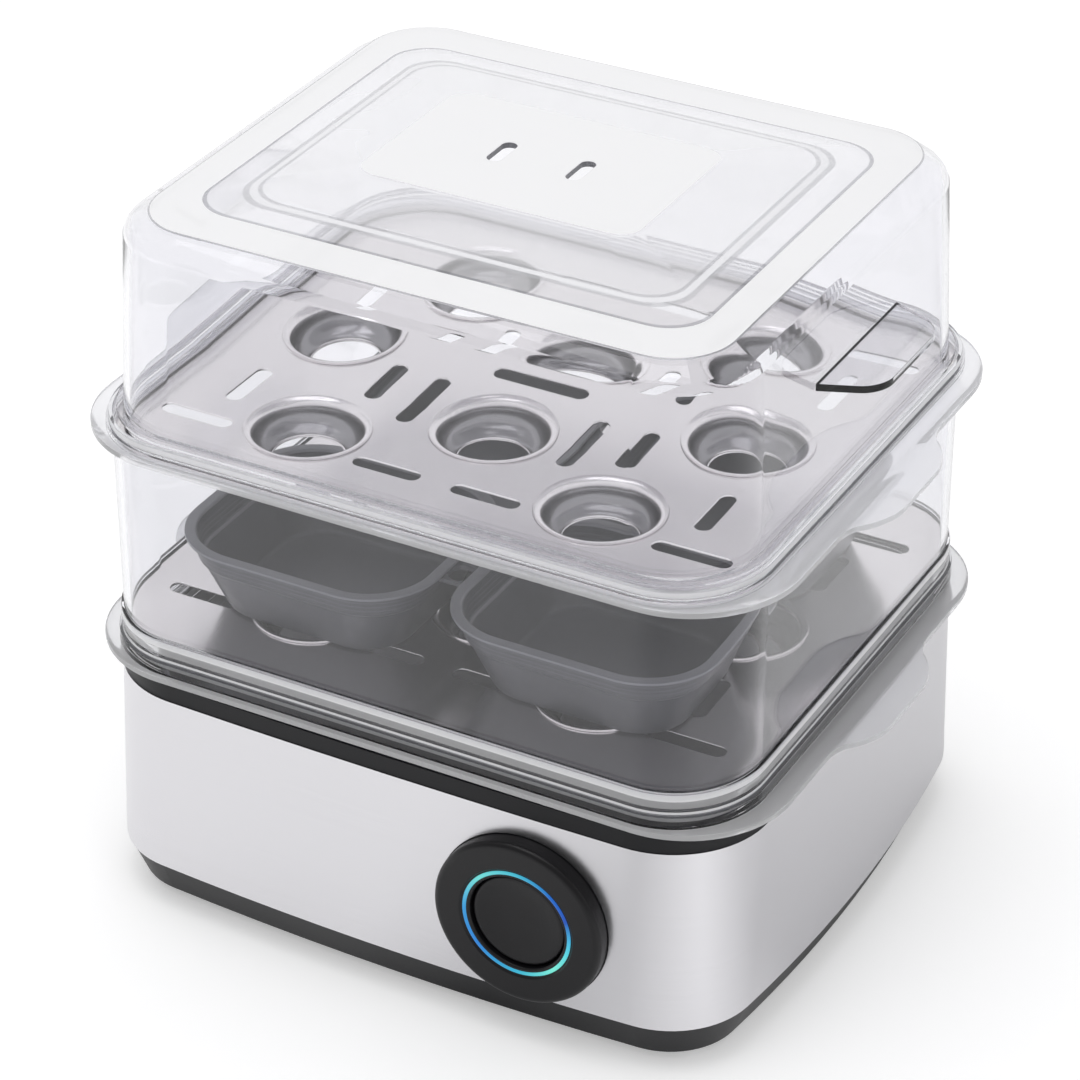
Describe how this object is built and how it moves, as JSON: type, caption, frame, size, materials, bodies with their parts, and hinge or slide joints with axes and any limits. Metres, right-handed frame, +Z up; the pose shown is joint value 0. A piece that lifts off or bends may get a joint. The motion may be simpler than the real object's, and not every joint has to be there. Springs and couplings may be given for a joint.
{
  "type": "egg boiler",
  "caption": "Countertop steam cooker for eggs: steel-clad heating base with a round push control, stacked clear trays, perforated egg plates, poaching cups and a clear vented lid.",
  "frame": {"origin": "middle of the footprint on the floor", "axes": "+X along the front face to the right seen from the front, +Y from the front to the back, +Z up"},
  "size_m": [0.258, 0.2093, 0.2448],
  "materials": {
    "rubber": "matte",
    "black_plastic": "satin moulded",
    "plain_steel": "plain",
    "satin_steel": "satin",
    "silicone": "matte",
    "coated_aluminium": "smooth",
    "dark_plastic": "matte",
    "charcoal_plastic": "satin",
    "light_diffuser": "glowing ring",
    "board_green": "lacquered",
    "brass": "bare",
    "lead_jacket": "smooth",
    "clear_plastic": "clear, glossy",
    "grey_coating": "satin non-stick coating"
  },
  "bodies": {
    "base": {"rubber_feet": "rubber", "base_tub": "black_plastic", "base_screws": "plain_steel", "steel_sleeve": "satin_steel", "top_collar": "black_plastic", "pan_seal": "silicone", "water_pan": "coated_aluminium", "heating_element": "plain_steel", "element_strap": "plain_steel", "strap_nuts": "plain_steel", "thermostat": "dark_plastic", "thermal_fuse": "plain_steel", "control_bezel": "charcoal_plastic", "light_ring": "light_diffuser", "control_board": "board_green", "push_switch": "dark_plastic", "board_screws": "plain_steel", "power_inlet": "black_plastic", "inlet_pins": "brass", "inlet_screws": "plain_steel", "internal_leads": "lead_jacket"},
    "button": {"start_button": "charcoal_plastic"},
    "lower_tray_body": {"lower_tray": "clear_plastic"},
    "lower_plate_body": {"lower_egg_plate": "satin_steel"},
    "poaching_body": {"poaching_cups": "grey_coating"},
    "upper_tray_body": {"upper_tray": "clear_plastic"},
    "upper_plate_body": {"upper_egg_plate": "satin_steel"},
    "lid_body": {"lid": "clear_plastic"}
  },
  "joints": [
    {"name": "button_press", "type": "slide", "parent": "base", "child": "button", "axis": [0, 1, 0], "range_m": [0, 0.001], "stiffness_N_per_m": 1500},
    {"name": "lower_tray_lift", "type": "slide", "parent": "base", "child": "lower_tray_body", "axis": [0, 0, 1], "range_m": [0, 0.04]},
    {"name": "lower_plate_lift", "type": "slide", "parent": "lower_tray_body", "child": "lower_plate_body", "axis": [0, 0, 1], "range_m": [0, 0.03]},
    {"name": "poaching_lift", "type": "slide", "parent": "lower_plate_body", "child": "poaching_body", "axis": [0, 0, 1], "range_m": [0, 0.04]},
    {"name": "upper_tray_lift", "type": "slide", "parent": "poaching_body", "child": "upper_tray_body", "axis": [0, 0, 1], "range_m": [0, 0.04]},
    {"name": "upper_plate_lift", "type": "slide", "parent": "upper_tray_body", "child": "upper_plate_body", "axis": [0, 0, 1], "range_m": [0, 0.03]},
    {"name": "lid_lift", "type": "slide", "parent": "upper_plate_body", "child": "lid_body", "axis": [0, 0, 1], "range_m": [0, 0.08]}
  ]
}
